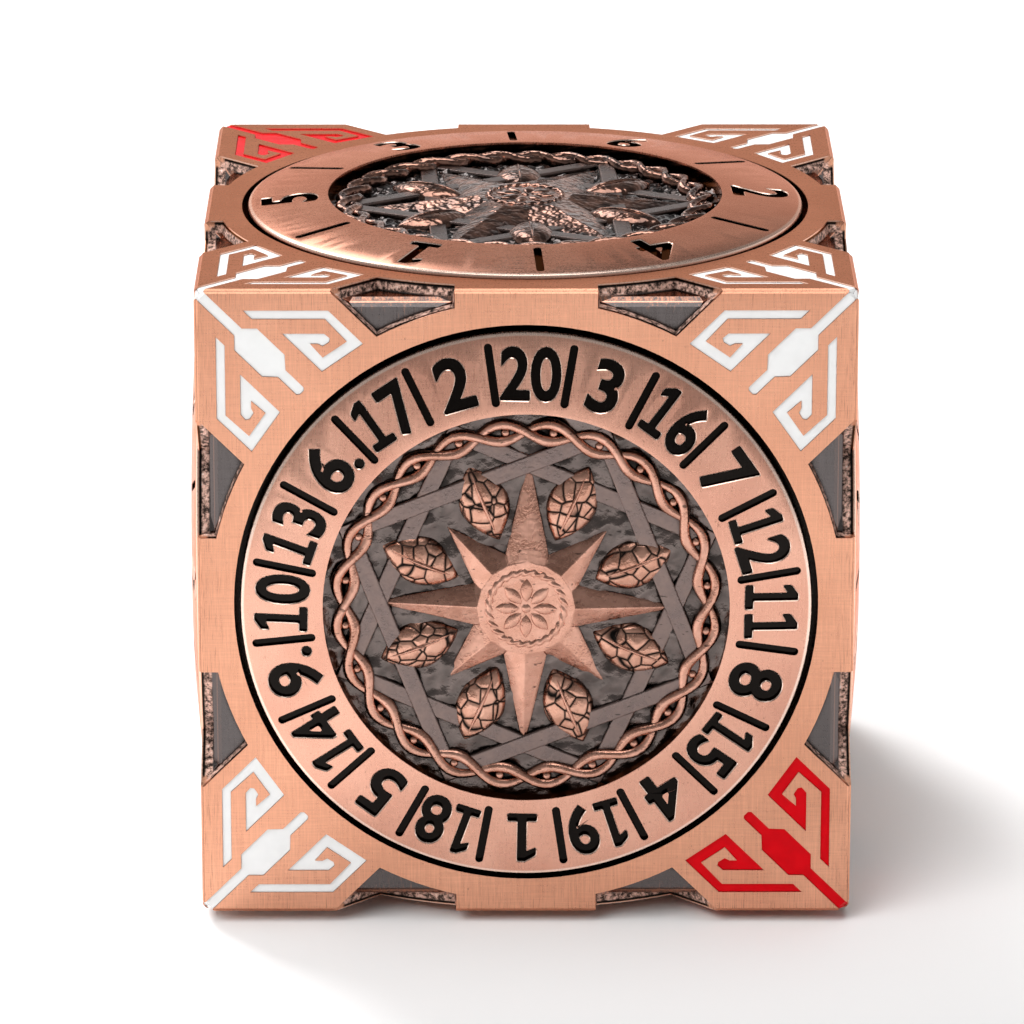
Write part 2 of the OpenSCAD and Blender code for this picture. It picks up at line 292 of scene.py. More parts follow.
half_side = cube_half / mm
# Black, for real stain and patina and for painted shade in gaps.
stain_and_shade_black = (0.012, 0.010, 0.009, 1)
# Pale copper for painted highlights along edges.
painted_highlight = (1.0, 0.78, 0.66, 1)
plate_copper, bench, skin, places, colour, rough = brushed_copper(
    "brushed_copper", bright=(0.85, 0.42, 0.27, 1), dull=(0.74, 0.35, 0.22, 1), brush=0.5, gloss=0.3)
where, depth, radius, edgeward = places
# Brushing is coarser, and holds more stain, towards the cube's edges.
edge_zone = bench.ramp(edgeward, half_side - 2.5, half_side - 0.1, 0, 0.85)
scratches = grain(bench, where, (1, 1, 0.03), 14, 3, 0.7)
stained = bench.calc("MULTIPLY", bench.ramp(scratches, 0.56, 0.66), edge_zone)
colour = bench.mix(stained, colour, (0.25, 0.11, 0.07, 1))
# The notches' floors are dark grey. Those along the level edges are rubbed brown, most where they
# face up or down, and to copper at the fold where the floors of two faces meet.
size = bench.add("VectorMath", {0: where}, operation="ABSOLUTE")
x, y, z = bench.add("SeparateXYZ", {0: size}).node.outputs
by_level_edge = bench.ramp(bench.calc("SUBTRACT", z, bench.calc("MINIMUM", x, y)), -1, 3, 0.12, 1)
lies_level = bench.ramp(bench.calc("SUBTRACT", z, bench.calc("MAXIMUM", x, y)), -0.2, 0.2, 0.3, 0.8)
notch_edge = half_side - notch_depth
lip = bench.calc("MULTIPLY", bench.ramp(edgeward, notch_edge - 2.2, notch_edge - 0.1), by_level_edge)
lip = bench.calc("MULTIPLY", lip, lies_level)
streaks = grain(bench, where, (1, 1, 0.12), 5, 4, 0.7)
rubbed = bench.ramp(bench.calc("ADD", streaks, bench.calc("MULTIPLY", lip, 0.42)), 0.66, 0.95)
notch_floor = bench.mix(rubbed, (0.115, 0.1, 0.098, 1), (0.5, 0.24, 0.16, 1))
from_fold = bench.calc("SUBTRACT", bench.calc("SUBTRACT", half_side, depth), edgeward)
from_fold = bench.calc("ABSOLUTE", from_fold)
at_fold = bench.calc("MULTIPLY", bench.ramp(from_fold, 0.09, 0.04), by_level_edge)
notch_floor = bench.mix(at_fold, notch_floor, (0.72, 0.38, 0.27, 1))
# Their walls are left as cast: black in the pits and copper on the grains, and the brightest grains are
# painted near white as painted glints.
mottle = grain(bench, where, (1, 1, 1), 3.2, 4, 0.75)
notch_wall_and_glints = bench.mix(bench.ramp(mottle, 0.41, 0.5), stain_and_shade_black, (0.34, 0.21, 0.17, 1))
notch_wall_and_glints = bench.mix(bench.ramp(mottle, 0.49, 0.56), notch_wall_and_glints, (0.8, 0.5, 0.4, 1))
# Painted glints: the brightest grains of the wall are painted near white.
notch_wall_and_glints = bench.mix(bench.ramp(mottle, 0.62, 0.68), notch_wall_and_glints, (0.95, 0.87, 0.83, 1))
outside_well = bench.ramp(radius, well_r + 0.08, well_r + 0.2)
in_notch = bench.calc("MULTIPLY", bench.ramp(depth, 0.68, 0.76), outside_well)
on_wall = bench.calc("MULTIPLY", bench.ramp(depth, 0.2, 0.3), outside_well)
notch_skin = bench.mix(in_notch, notch_wall_and_glints, notch_floor)
notch_skin = bench.mix(bench.ramp(bench.hollows(0.5), 0.75, 0.45), notch_skin, stain_and_shade_black)
# All below the face is painted black, as painted shade on the walls of the well and the enamel recesses,
# except the rounding of the cube's own edges. The rest, deeper than 0.3 mm outside the well, where the
# notches are, takes the notches' own stain and wear.
near_edge = bench.ramp(edgeward, half_side - 0.7, half_side - 0.55)
at_edge = bench.calc("MULTIPLY", near_edge, bench.ramp(depth, 0.45, 0.3))
recess_stain_and_shade = bench.calc("MULTIPLY", bench.ramp(depth, 0.07, 0.1), bench.calc("SUBTRACT", 1.0, at_edge))
colour = bench.mix(recess_stain_and_shade, colour, bench.mix(on_wall, stain_and_shade_black, notch_skin))
# Painted highlight: a thin bright line just below the face, round the well and the enamel recesses, fading
# out towards the cube's edges.
off_edge = bench.ramp(edgeward, half_side - 0.5, half_side - 0.3, 0.6, 0.0)
painted_rim_highlight = bench.calc("MULTIPLY", bench.band(depth, 0.012, 0.05, 0.012), off_edge)
colour = bench.mix(painted_rim_highlight, colour, painted_highlight)
seam_zone = bench.ramp(edgeward, half_side - 0.4, half_side - 0.3, 0, 0.7)
seam = bench.calc("MULTIPLY", bench.ramp(from_fold, 0.05, 0.02), seam_zone)
colour = bench.mix(seam, colour, (0.16, 0.08, 0.06, 1))
bench.tree.links.new(colour, skin.inputs["Base Color"])
as_cast = bench.calc("MULTIPLY", on_wall, bench.calc("SUBTRACT", 1.0, in_notch))
rough = bench.calc("MULTIPLY_ADD", recess_stain_and_shade, -0.06, rough)
bench.tree.links.new(bench.calc("MULTIPLY_ADD", as_cast, 0.25, rough), skin.inputs["Roughness"])
bench.tree.links.new(bench.calc("MULTIPLY_ADD", as_cast, -0.75, 1.0), skin.inputs["Metallic"])

for face in faces:
    plate = solid_copy(f"{face}_plate", f"{face}_face_plate")
    bpy.ops.object.shade_smooth_by_angle(angle=math.radians(30))
    dress(plate, plate_copper)
    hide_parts(f"{face}_plate")
    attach(plate, "cube")

# Enamel: soft white and red enamel, poured into the recesses and fired. It stands a little below
# the metal, with a smooth skin that dips and swells slightly.
def enamel_paint(name, colour, shade, gloss, shine):
    """Enamel of one colour, with cloudy patches of a second shade."""
    paint = bpy.data.materials.new(name)
    bench = Bench(paint)
    where = place_on_cube(bench)[0]
    cloud = grain(bench, where, (1, 1, 1), 0.7, 2)
    skin = bench.tree.nodes["Principled BSDF"]
    bench.tree.links.new(bench.mix(bench.ramp(cloud, 0.4, 0.7), colour, shade), skin.inputs["Base Color"])
    swell = grain(bench, where, (1, 1, 1), 1.6, 1)
    bump = bench.add("Bump", {"Strength": 0.3, "Distance": 0.05 * mm, "Height": swell})
    bench.tree.links.new(bump, skin.inputs["Normal"])
    skin.inputs["Roughness"].default_value = gloss
    skin.inputs["Specular IOR Level"].default_value = shine
    return paint


enamels = {
    "white_enamel": enamel_paint("white_enamel_fill", (0.84, 0.84, 0.835, 1), (0.8, 0.8, 0.795, 1),
                                 0.2, 0.4),
    "red_enamel": enamel_paint("red_enamel_fill", (0.66, 0.001, 0.006, 1), (0.55, 0.001, 0.005, 1),
                               0.25, 0.06),
}
for node, paint in enamels.items():
    fill = solid_copy(node, node + "_fill")
    break_edges(fill, 0.03)
    dress(fill, paint)
    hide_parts(node)
    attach(fill, "cube")

# Dials: zinc alloy castings, copper plated and satin finished, each turning in its plate's well on
# an axle. The numbers and the grooves between them are cut square to the coned band, with a small
# chamfer, and filled with glossy black.
dial_r, crest_r, land_w = 17.44, 12.39, 0.3
rim_rise = 0.2
crest_rise = (cad_box[1][2] - centre_z - cube_half) / mm
ground = crest_rise - 1.1
band_slope = math.atan((crest_rise - rim_rise) / (dial_r - crest_r - land_w))
number_depth = 0.3 * mm
chamfer = 0.07 * mm
face_turns = {"front": (90, 0, 0), "right": (90, 0, 90), "back": (90, 0, 180), "left": (90, 0, 270),
              "top": (0, 0, 0), "bottom": (180, 0, 0)}
# Each dial: its node, the way its first number points in degrees from the dial's own +X, its
# numbers clockwise, and their height in mm.
dials = {
    "front": ("d20_dial", 89, "20 3 16 7 12 11 8 15 4 19 1 18 5 14 9. 10 13 6. 17 2", 3.25),
    "right": ("d10_dial", 90, "10 3 6. 7 2 1 8 5 4 9.", 3.5),
    "back": ("d12_dial", 90, "12 3 8 6. 11 4 1 10 5 7 2 9.", 3.5),
    "left": ("d8_dial", 90, "8 3 5 2 1 6 4 7", 3.5),
    "top": ("d6_dial", 123, "3 6 2 4 1 5", 3.5),
    "bottom": ("d4_dial", 90, "4 3 1 2", 3.5),
}


def stand_on_face(face):
    """The move from lying flat, with the plate's outside at z = 0, to a place on the cube."""
    turn = Euler([math.radians(angle) for angle in face_turns[face]]).to_matrix().to_4x4()
    return Matrix.Translation((0, 0, centre_z)) @ turn @ Matrix.Translation((0, 0, cube_half))


def copy_of(piece):
    """A copy of a piece, with its own mesh."""
    twin = bpy.data.objects.new(piece.name, piece.data.copy())
    bpy.context.scene.collection.objects.link(twin)
    return twin


def joined(pieces):
    """Makes one piece of several."""
    bpy.ops.object.select_all(action="DESELECT")
    for piece in pieces:
        piece.select_set(True)
    bpy.context.view_layer.objects.active = pieces[0]
    bpy.ops.object.join()
    return bpy.context.object


def flat_outline(corners):
    """A flat face through the given corners."""
    bpy.ops.object.select_all(action="DESELECT")
    bpy.ops.mesh.primitive_circle_add(vertices=len(corners), radius=1, fill_type="NGON")
    outline = bpy.context.object
    for vertex, corner in zip(outline.data.vertices, corners):
        vertex.co = (*corner, 0)
    return outline


def digit_outline(digit):
    """A digit of the punch set as a flat face, 1 unit high, with its corners a little rounded. The
    digit 1 has a flag and a foot, and the dot stands for the one beside a 6 and a 9."""
    bpy.ops.object.select_all(action="DESELECT")
    if digit == "1":
        outline = flat_outline([(-0.28, 0), (0.28, 0), (0.28, 0.15), (0.085, 0.15), (0.085, 1), (-0.06, 1),
                                (-0.27, 0.87), (-0.27, 0.71), (-0.085, 0.8), (-0.085, 0.15), (-0.28, 0.15)])
    elif digit == ".":
        bpy.ops.mesh.primitive_circle_add(vertices=20, radius=0.095, fill_type="NGON")
        return bpy.context.object
    else:
        bpy.ops.object.text_add()
        bpy.context.object.data.body = digit
        bpy.context.object.data.align_x = "CENTER"
        bpy.context.object.data.size = 1 / 0.729
        bpy.context.object.data.offset = 0.036
        bpy.context.object.data.resolution_u = 5
        bpy.ops.object.convert(target="MESH")
        outline = bpy.context.object
    bpy.ops.object.mode_set(mode="EDIT")
    bpy.ops.mesh.select_mode(type="VERT")
    bpy.ops.mesh.select_all(action="SELECT")
    bpy.ops.mesh.remove_doubles(threshold=1e-4)
    bpy.ops.mesh.dissolve_limited(angle_limit=math.radians(1))
    bpy.ops.mesh.select_all(action="DESELECT")
    flat = bmesh.from_edit_mesh(outline.data)
    for corner in flat.verts:
        rims = [edge.other_vert(corner).co - corner.co for edge in corner.link_edges if edge.is_boundary]
        corner.select = len(rims) == 2 and rims[0].angle(rims[1]) < math.radians(130)
    flat.select_flush_mode()
    bpy.ops.mesh.bevel(offset=0.034, segments=2, affect="VERTICES", clamp_overlap=True)
    bpy.ops.object.mode_set(mode="OBJECT")
    return outline


def raise_block(piece, height):
    """Gives a flat face a height above it, as a closed block."""
    bpy.ops.object.select_all(action="DESELECT")
    piece.select_set(True)
    bpy.context.view_layer.objects.active = piece
    bpy.ops.object.mode_set(mode="EDIT")
    bpy.ops.mesh.select_all(action="SELECT")
    bpy.ops.mesh.extrude_region_move(TRANSFORM_OT_translate={"value": (0, 0, height)})
    bpy.ops.mesh.select_all(action="SELECT")
    bpy.ops.mesh.normals_make_consistent(inside=False)
    bpy.ops.object.mode_set(mode="OBJECT")


def select_top(block, height):
    """In edit mode, selects a block's upper face."""
    bpy.ops.mesh.select_mode(type="FACE")
    bpy.ops.mesh.select_all(action="DESELECT")
    faces_of_block = bmesh.from_edit_mesh(block.data)
    for side in faces_of_block.faces:
        side.select = min(corner.co.z for corner in side.verts) > height * 0.99
    faces_of_block.select_flush_mode()


def flare_top(block, height, rise):
    """Adds a chamfer that widens a block upwards from the given height."""
    bpy.ops.object.mode_set(mode="EDIT")
    select_top(block, height)
    bpy.ops.mesh.extrude_region_move(TRANSFORM_OT_translate={"value": (0, 0, rise)})
    flared = bmesh.from_edit_mesh(block.data)
    flared.normal_update()
    for corner in flared.verts:
        sides = [side.normal for side in corner.link_faces if abs(side.normal.z) < 0.5]
        if corner.co.z > height + rise / 2 and sides:
            out = sum(sides, Vector()).normalized()
            corner.co += out * rise / max(0.6, out.dot(sides[0]))
    bpy.ops.object.mode_set(mode="OBJECT")


punches = {digit: digit_outline(digit) for digit in "0123456789."}


def number_block(text, angle, height):
    """One number as a solid block, standing on a dial that lies flat, its top outwards. A number of
    two digits has them narrower than one digit alone."""
    digits = text.strip(".")
    narrow = (0.84 if len(digits) > 1 else 1) * height
    pitch = 0.685 * narrow
    middle = (len(digits) - 1) / 2
    places = [(digit, (place - middle) * pitch, narrow) for place, digit in enumerate(digits)]
    if "." in text:
        places = [(digits, -0.06 * height, narrow), (".", 0.4 * height, height)]
    parts = []
    for digit, along, width in places:
        part = copy_of(punches[digit])
        lift = 0.09 * height if digit == "." else 0
        part.data.transform(Matrix.Translation((along * mm, lift * mm, 0))
                            @ Matrix.Diagonal((width * mm, height * mm, 1, 1)))
        parts.append(part)
    number = joined(parts)
    raise_block(number, number_depth - chamfer)
    flare_top(number, number_depth - chamfer, chamfer + 0.06 * mm)
    mid_band = (crest_r + land_w + dial_r - 0.25) / 2
    surface = rim_rise + (dial_r - mid_band) * math.tan(band_slope)
    number.data.transform(
        Matrix.Rotation(math.radians(angle - 90), 4, "Z")
        @ Matrix.Translation((0, mid_band * mm, surface * mm)) @ Matrix.Rotation(-band_slope, 4, "X")
        @ Matrix.Translation((0, -height * mm / 2, -number_depth)))
    return number


dial_copper, bench, skin, places, colour, rough = brushed_copper(
    "satin_copper", bright=(0.84, 0.46, 0.34, 1), dull=(0.72, 0.36, 0.26, 1), brush=0.2, gloss=0.28)
depth, radius = places[1:3]
cone = bench.calc("MULTIPLY_ADD", radius, -math.tan(band_slope), rim_rise + dial_r * math.tan(band_slope))
below_band = bench.calc("ADD", bench.calc("MINIMUM", cone, crest_rise), depth)
past_crest = bench.ramp(radius, crest_r + 0.1, crest_r + 0.12)
on_band = bench.calc("MULTIPLY", past_crest, bench.ramp(radius, dial_r - 0.24, dial_r - 0.34))
# The band's cuts are filled black, but for their chamfer, which has a bright line painted on as a painted
# highlight, as has the rounding of the dial's outer edge. The walls below the rim, in the gap to the plate,
# and the wall inside the crest are painted black as painted shade.
sunk = bench.calc("MULTIPLY", bench.ramp(below_band, 0.055, 0.07), on_band)
# Painted highlight: a bright line on the chamfer of the cuts.
painted_rim_highlight = bench.calc("MULTIPLY", bench.band(below_band, 0.02, 0.055, 0.01), on_band)
# Painted shade: the dial's side wall below the rim, facing the plate across the gap, is painted black, and
# so is the wall inside the crest.
past_band = bench.ramp(radius, dial_r - 0.34, dial_r - 0.24)
side_wall_shade = bench.calc("MULTIPLY", past_band, bench.ramp(depth, 0.0, 0.12))
inside_crest = bench.ramp(radius, crest_r + 0.08, crest_r + 0.03)
inner_wall_shade = bench.calc("MULTIPLY", inside_crest, bench.ramp(depth, 0.08 - crest_rise, 0.16 - crest_rise))
# Painted highlight: the rounding of the dial's outer edge is painted bright.
rounding = bench.ramp(radius, dial_r - 0.28, dial_r - 0.2, 0, 0.8)
outer_edge_highlight = bench.calc("MULTIPLY", rounding, bench.ramp(depth, -0.02, -0.08))
colour = bench.mix(bench.calc("MAXIMUM", painted_rim_highlight, outer_edge_highlight), colour, painted_highlight)
# Black for the real fill in the cuts and for the painted shade on the walls.
black = bench.calc("MAXIMUM", bench.calc("MAXIMUM", sunk, inner_wall_shade), side_wall_shade)
colour = bench.mix(black, colour, stain_and_shade_black)
bench.tree.links.new(colour, skin.inputs["Base Color"])
bench.tree.links.new(bench.calc("MULTIPLY_ADD", black, -0.12, rough), skin.inputs["Roughness"])

for face, (node, first, numbers, height) in dials.items():
    dial = solid_copy(node, f"{face}_number_dial", 0.05)
    dial.data.transform(stand_on_face(face).inverted())
    # The plain star in the middle gives way to the medallion, and a flat ground closes the hole.
    bpy.ops.object.mode_set(mode="EDIT")
    bpy.ops.mesh.select_mode(type="VERT")
    bpy.ops.mesh.select_all(action="DESELECT")
    star_mesh = bmesh.from_edit_mesh(dial.data)
    for corner in star_mesh.verts:
        corner.select = corner.co.xy.length < (crest_r - 0.5) * mm and corner.co.z > (ground + 0.02) * mm
    star_mesh.select_flush_mode()
    bpy.ops.mesh.delete(type="VERT")
    bpy.ops.mesh.select_all(action="DESELECT")
    bpy.ops.mesh.select_non_manifold(extend=False)
    bpy.ops.mesh.edge_face_add()
    bpy.ops.mesh.select_all(action="SELECT")
    bpy.ops.mesh.normals_make_consistent(inside=False)
    bpy.ops.object.mode_set(mode="OBJECT")
    numbers = numbers.split()
    cutter = joined([number_block(text, first - 360 * place / len(numbers), height)
                     for place, text in enumerate(numbers)])
    bpy.ops.object.select_all(action="DESELECT")
    dial.select_set(True)
    bpy.context.view_layer.objects.active = dial
    engraving = dial.modifiers.new("numbers", "BOOLEAN")
    engraving.object = cutter
    engraving.operation = "DIFFERENCE"
    engraving.solver = "MANIFOLD"
    bpy.ops.object.modifier_apply(modifier="numbers")
    bpy.data.objects.remove(cutter)
    bpy.ops.object.shade_smooth_by_angle(angle=math.radians(30))
    dial.data.transform(stand_on_face(face))
    dress(dial, dial_copper)
    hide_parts(node)
    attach(dial, f"{face}_dial")

for punch in punches.values():
    bpy.data.objects.remove(punch)

# Medallions: the relief in the middle of each dial, cast with it. A hammered ground and strap frames
# keep a dark nickel finish, and the star, leaves, braid and beads are rubbed back to the copper.
star_top = 0.55
star_flat_r = crest_r * 0.24
braid_r = 11.1
# Each medallion: the star's points and their long and short reach as shares of the crest's radius,
# the frames and their sides, the braid's waves, the leaves' length and radius, and the hammering's
# coarseness, in mm.
medallions = {
    "front": (8, 0.77, 0.56, 2, 4, 24, 5.2, 7.0, 1.5),
    "right": (10, 0.8, 0.8, 2, 5, 30, 4.4, 7.4, 1.2),
    "back": (12, 0.84, 0.62, 2, 6, 24, 4.0, 7.6, 1.4),
    "left": (8, 0.77, 0.77, 2, 4, 24, 4.8, 7.1, 1.2),
    "top": (6, 0.82, 0.82, 2, 3, 30, 5.4, 6.9, 0.7),
    "bottom": (4, 0.84, 0.84, 1, 4, 28, 5.6, 6.6, 0.9),
}


def hammered_ground(coarse, layer):
    """The medallion's ground, a round plate whose face is lumpy from the die. The layer picks another
    part of the same noise for each medallion."""
    bpy.ops.object.select_all(action="DESELECT")
    bpy.ops.mesh.primitive_grid_add(x_subdivisions=190, y_subdivisions=190, size=25.6 * mm)
    plate = bpy.context.object
    bpy.ops.object.mode_set(mode="EDIT")
    bpy.ops.mesh.select_mode(type="VERT")
    bpy.ops.mesh.select_all(action="DESELECT")
    grid = bmesh.from_edit_mesh(plate.data)
    for corner in grid.verts:
        corner.select = corner.co.xy.length > (crest_r + 0.26) * mm
    grid.select_flush_mode()
    bpy.ops.mesh.delete(type="VERT")
    bpy.ops.object.mode_set(mode="OBJECT")
    layer_pitch = 7
    plate.data.transform(Matrix.Translation((0, 0, layer * layer_pitch * mm)))
    noises = (("pools", "CLOUDS", coarse * 1.3, 0.55), ("dents", "VORONOI", coarse, 0.3))
    for name, kind, size, depth in noises:
        noise = bpy.data.textures.new(name, kind)
        noise.noise_scale = size * mm
        lumps = plate.modifiers.new(name, "DISPLACE")
        lumps.texture = noise
        lumps.strength = depth * mm
        lumps.mid_level = 0.5
        lumps.direction = "Z"
        lumps.texture_coords = "LOCAL"
        bpy.ops.object.modifier_apply(modifier=name)
    plate.data.transform(Matrix.Translation((0, 0, (ground + 0.15 - layer * layer_pitch) * mm)))
    for corner in plate.data.vertices:
        corner.co.z = max(corner.co.z, (ground + 0.03) * mm)
    bpy.ops.object.mode_set(mode="EDIT")
    bpy.ops.mesh.select_all(action="DESELECT")
    bpy.ops.mesh.select_non_manifold(extend=False)
    bpy.ops.mesh.extrude_region_move(TRANSFORM_OT_translate={"value": (0, 0, -0.3 * mm)})
    bpy.ops.mesh.edge_face_add()
    bpy.ops.mesh.select_all(action="SELECT")
    bpy.ops.mesh.normals_make_consistent(inside=False)
    bpy.ops.object.mode_set(mode="OBJECT")
    bpy.ops.object.shade_smooth_by_angle(angle=math.radians(60))
    return plate


def round_outline(radii, first=0.0):
    """A flat face round the middle, with a corner at each of the radii in turn."""
    return flat_outline([(radius * mm * math.cos(first + math.tau * place / len(radii)),
                          radius * mm * math.sin(first + math.tau * place / len(radii)))
                         for place, radius in enumerate(radii)])


def cast_star(points, long, short, first):
    """A faceted star: short walls, then facets with a ridge to each tip, up to a round flat top."""
    valley = crest_r * short * (0.3 if points < 6 else 0.5)
    star = round_outline([valley if place % 2 else crest_r * (short if place % 4 else long)
                          for place in range(2 * points)], first)
    raise_block(star, 0.24 * mm)
    bpy.ops.object.mode_set(mode="EDIT")
    select_top(star, 0.24 * mm)
    facet_rise = (star_top - ground - 0.19) * mm
    bpy.ops.mesh.extrude_region_move(TRANSFORM_OT_translate={"value": (0, 0, facet_rise)})
    bpy.ops.object.mode_set(mode="OBJECT")
    for corner in star.data.vertices:
        if corner.co.z > 0.3 * mm:
            corner.co.xy = corner.co.xy.normalized() * star_flat_r * mm
    star.data.transform(Matrix.Translation((0, 0, (ground - 0.05) * mm)))
    break_edges(star, 0.07, 9)
    return star


def strap_frame(sides, turn, width, top):
    """A flat strap round a polygon whose corners run under the number band."""
    strap = round_outline([crest_r + 0.16] * sides, turn)
    bpy.ops.object.mode_set(mode="EDIT")
    bpy.ops.mesh.select_all(action="SELECT")
    bpy.ops.mesh.inset(thickness=width * mm, depth=0)
    bpy.ops.mesh.delete(type="FACE")
    bpy.ops.object.mode_set(mode="OBJECT")
    raise_block(strap, (top - ground + 0.05) * mm)
    strap.data.transform(Matrix.Translation((0, 0, (ground - 0.05) * mm)))
    break_edges(strap, 0.12)
    return strap


def leaf(length, width, top, base=ground):
    """A pointed leaf along Y, swelling upwards from its base."""
    bpy.ops.object.select_all(action="DESELECT")
    bpy.ops.mesh.primitive_uv_sphere_add(segments=32, ring_count=20, radius=1, rotation=(math.pi / 2, 0, 0))
    bpy.ops.object.transform_apply(location=False, rotation=True, scale=False)
    blade = bpy.context.object
    for corner in blade.data.vertices:
        x, y, z = corner.co
        point = math.sqrt(max(0.0, 1 - y * y))
        height = base + max(z, -0.1) * (top - base)
        corner.co = (x * point * width / 2 * mm, y * length / 2 * mm, height * mm)
    bpy.ops.object.shade_smooth()
    return blade


def braid_strand(swing, waves, lag):
    """One strand of the braid, which passes over and under the other by turns."""
    thick = 0.36
    bpy.ops.object.select_all(action="DESELECT")
    bpy.ops.mesh.primitive_torus_add(major_radius=braid_r * mm, minor_radius=thick * mm,
                                     major_segments=waves * 8, minor_segments=10)
    strand = bpy.context.object
    for corner in strand.data.vertices:
        phase = waves / 2 * math.atan2(corner.co.y, corner.co.x) + lag
        outward = corner.co.xy.normalized() * swing * mm * math.sin(phase)
        sunk = corner.co.z < -0.1 * mm
        corner.co.x += outward.x
        corner.co.y += outward.y
        over = ground + thick + 0.12 * math.cos(phase)
        corner.co.z = (ground - 0.04) * mm if sunk else corner.co.z + over * mm
    bpy.ops.object.shade_smooth()
    return strand


def rope_ring(radius, size, turns, height):
    """A ring twisted like a rope of three strands."""
    bpy.ops.object.select_all(action="DESELECT")
    bpy.ops.mesh.primitive_torus_add(major_radius=radius * mm, minor_radius=size * mm,
                                     major_segments=turns * 6, minor_segments=18)
    rope = bpy.context.object
    for corner in rope.data.vertices:
        angle = math.atan2(corner.co.y, corner.co.x)
        out = corner.co.xy.length - radius * mm
        lie = math.atan2(corner.co.z, out)
        swell = 1 + 0.16 * math.cos(3 * lie - turns * angle)
        corner.co.x += math.cos(angle) * out * (swell - 1)
        corner.co.y += math.sin(angle) * out * (swell - 1)
        corner.co.z = corner.co.z * swell + height * mm
    bpy.ops.object.shade_smooth()
    return rope


def bead(size, top):
    """A domed bead, sunk to its waist."""
    bpy.ops.object.select_all(action="DESELECT")
    bpy.ops.mesh.primitive_ico_sphere_add(subdivisions=2, radius=1)
    dome = bpy.context.object
    dome.data.transform(Matrix.Translation((0, 0, (top - size) * mm)) @ Matrix.Scale(size * mm, 4))
    bpy.ops.object.shade_smooth()
    return dome


def ring_of(piece, count, radius, first):
    """Copies a piece round the middle, with its +Y turned outwards. The original is used up."""
    ring = []
    for place in range(count):
        twin = copy_of(piece)
        turn = Matrix.Rotation(first + math.tau * place / count, 4, "Z")
        out = Matrix.Translation((radius * mm, 0, 0)) @ Matrix.Rotation(-math.pi / 2, 4, "Z")
        twin.data.transform(turn @ out)
        ring.append(twin)
    bpy.data.objects.remove(piece)
    return ring


def relief_metal(name, bright, dull, low_colour, low_share, gloss, cobbles=0, lumps=0.08):
    """A cast, plated and rubbed skin: black in its hollows and darker low down, where rubbing doesn't
    reach, with cobbles of the given size in mm where it has them, and lumps of the given depth."""
    metal = bpy.data.materials.new(name)
    bench = Bench(metal)
    where, depth = place_on_cube(bench)[:2]
    tone = grain(bench, where, (1, 1, 1), 0.9, 3)
    fine_size, fine_detail = (3.5, 3) if lumps < 0.1 else (2.0, 1)
    fine = grain(bench, where, (1, 1, 1), fine_size, fine_detail)
    colour = bench.mix(bench.ramp(tone, 0.35, 0.65), dull, bright)
    height = bench.calc("MULTIPLY", fine, 0.45)
    if cobbles:
        cells = bench.add("TexVoronoi", {"Vector": where, "Scale": 1 / cobbles}, feature="DISTANCE_TO_EDGE")
        swell = bench.ramp(cells, 0.0, 0.25)
        colour = bench.mix(bench.ramp(cells, 0.1, 0.02), colour, stain_and_shade_black)
        height = bench.calc("ADD", height, bench.calc("SQRT", swell))
    else:
        flecks = grain(bench, where, (1, 1, 3), 1.5, 2)
        colour = bench.mix(bench.ramp(flecks, 0.66, 0.72, 0, 0.7), colour, stain_and_shade_black)
    colour = bench.mix(bench.ramp(depth, -ground - 0.55, -ground, 0, low_share), colour, low_colour)
    colour = bench.mix(bench.ramp(bench.hollows(0.55), 0.72, 0.38), colour, stain_and_shade_black)
    bump = bench.add("Bump", {"Strength": 0.9, "Distance": lumps * mm, "Height": height})
    skin = bench.tree.nodes["Principled BSDF"]
    skin.inputs["Metallic"].default_value = 1
    bench.tree.links.new(colour, skin.inputs["Base Color"])
    bench.tree.links.new(bench.ramp(tone, 0.3, 0.7, gloss - 0.05, gloss + 0.07), skin.inputs["Roughness"])
    bench.tree.links.new(bump, skin.inputs["Normal"])
    return metal


dark_ground = relief_metal("dark_nickel_ground", (0.23, 0.18, 0.165, 1), (0.14, 0.115, 0.105, 1),
                           (0.03, 0.026, 0.025, 1), 0.5, 0.16)
dark_strap = relief_metal("dark_nickel_strap", (0.25, 0.18, 0.16, 1), (0.18, 0.135, 0.125, 1),
                          (0.1, 0.08, 0.075, 1), 0.4, 0.28)
rubbed_copper = relief_metal("rubbed_copper", (0.74, 0.4, 0.3, 1), (0.56, 0.28, 0.2, 1),
                             (0.2, 0.1, 0.075, 1), 0.85, 0.26)
cobbled_copper = relief_metal("cobbled_copper", (0.76, 0.42, 0.31, 1), (0.54, 0.27, 0.19, 1),
                              (0.22, 0.11, 0.08, 1), 0.8, 0.26, cobbles=1.0)
# The upper and lower medallions are left rougher from the die, and glitter. Their metals are painted much
# darker than the same metals on the other faces, a painted shade.
shaded_glitter_ground = relief_metal("glittering_ground_painted_darker", (0.2, 0.16, 0.15, 1), (0.07, 0.058, 0.055, 1),
                              (0.02, 0.017, 0.016, 1), 0.6, 0.13, lumps=0.3)
shaded_glitter_copper = relief_metal("glittering_copper_painted_darker", (0.5, 0.26, 0.19, 1), (0.13, 0.08, 0.065, 1),
                              (0.05, 0.034, 0.03, 1), 1.0, 0.15, lumps=0.24)

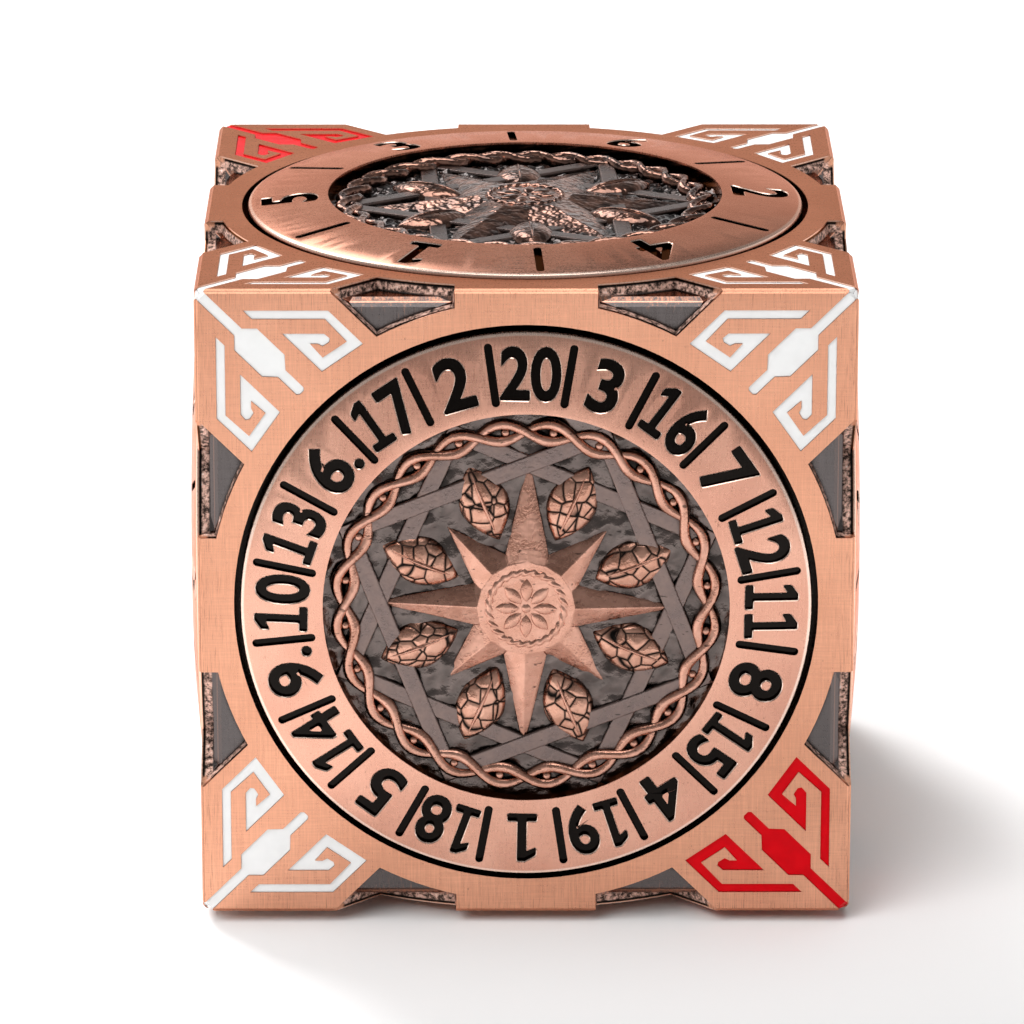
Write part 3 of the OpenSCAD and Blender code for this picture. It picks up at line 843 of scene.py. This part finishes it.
for layer, (face, settings) in enumerate(medallions.items()):
    points, long, short, frames, sides, waves, leaf_l, leaf_r, coarse = settings
    first = math.radians(dials[face][1])
    between = first + math.pi / points
    finishes = []

    def lay(material, *parts):
        """Gives parts their metal and adds them to the medallion."""
        for part in parts:
            dress(part, material)
            finishes.append(part)

    # The top and bottom medallions take the darker metals, a painted shade.
    if coarse < 1:
        ground_metal, relief, leaf_metal = shaded_glitter_ground, shaded_glitter_copper, shaded_glitter_copper
    else:
        ground_metal, relief, leaf_metal = dark_ground, rubbed_copper, cobbled_copper
    leaf_width = 3.1 if points < 10 else 2.1
    lay(ground_metal, hammered_ground(coarse, layer))
    for turn in range(frames):
        # Two square frames straddle the star's points, and the others have a corner at the first one.
        angle = first + math.pi / sides * (turn + 0.5 if frames == 2 and sides == 4 else turn)
        lay(dark_strap, strap_frame(sides, angle, 1.1, ground + 0.36 + 0.08 * turn))
    lay(relief, braid_strand(0.55, waves, 0), braid_strand(0.55, waves, math.pi))
    lay(relief, *ring_of(bead(0.32, ground + 0.6), waves, braid_r, first + math.pi / waves))
    lay(leaf_metal, *ring_of(leaf(leaf_l, leaf_width, 0.4), points, leaf_r, between))
    lay(relief, *ring_of(leaf(leaf_l * 0.92, 0.5, 0.52), points, leaf_r, between))
    lay(relief, cast_star(points, long, short, first))
    lay(relief, rope_ring(2.3, 0.27, 24, star_top - 0.17))
    lay(relief, *ring_of(leaf(1.5, 0.75, crest_rise - 0.01, star_top - 0.03), 8, 1.15, first))
    lay(relief, bead(0.42, crest_rise - 0.01))
    medallion = joined(finishes)
    medallion.name = f"{face}_medallion"
    medallion.data.transform(stand_on_face(face))
    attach(medallion, f"{face}_dial")

# Inside, out of sight: the rough cast zinc core, the steel screws that hold the plates to it, and
# each dial's ball bearing, pressed into the core, with the turned axle that the dial sits on.
def plain_metal(name, colour, dark, rough, scale, depth):
    """A metal with a cast or ground skin: its tone, gloss and surface all follow one noise."""
    metal = bpy.data.materials.new(name)
    bench = Bench(metal)
    where = place_on_cube(bench)[0]
    skin_noise = grain(bench, where, (1, 1, 1), scale, 4)
    skin = bench.tree.nodes["Principled BSDF"]
    skin.inputs["Metallic"].default_value = 1
    tone = bench.mix(bench.ramp(skin_noise, 0.3, 0.7), dark, colour)
    bench.tree.links.new(tone, skin.inputs["Base Color"])
    rough_map = bench.ramp(skin_noise, 0.3, 0.7, rough - 0.05, rough + 0.08)
    bench.tree.links.new(rough_map, skin.inputs["Roughness"])
    bump = bench.add("Bump", {"Strength": 0.5, "Distance": depth * mm, "Height": skin_noise})
    bench.tree.links.new(bump, skin.inputs["Normal"])
    return metal


cast_zinc = plain_metal("cast_zinc", (0.42, 0.43, 0.44, 1), (0.3, 0.31, 0.32, 1), 0.45, 3, 0.05)
screw_steel = plain_metal("screw_steel", (0.5, 0.5, 0.52, 1), (0.36, 0.36, 0.38, 1), 0.3, 8, 0.01)
ground_steel = plain_metal("ground_steel", (0.62, 0.63, 0.65, 1), (0.5, 0.51, 0.53, 1), 0.22, 12, 0.004)
ball_steel = plain_metal("ball_steel", (0.75, 0.76, 0.78, 1), (0.7, 0.71, 0.73, 1), 0.08, 5, 0.001)
cage_brass = plain_metal("cage_brass", (0.7, 0.5, 0.2, 1), (0.55, 0.38, 0.14, 1), 0.3, 6, 0.01)
dress(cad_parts["core"], cast_zinc)
inside_metals = {"screws": screw_steel, "bearing_outer": ground_steel, "bearing_inner": ground_steel,
                 "bearing_balls": ball_steel, "bearing_cage": cage_brass, "axle": ground_steel}
for face in faces:
    for part, metal in inside_metals.items():
        dress(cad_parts[f"{face}_{part}"], metal)

bpy.context.scene.view_settings.view_transform = "Standard"
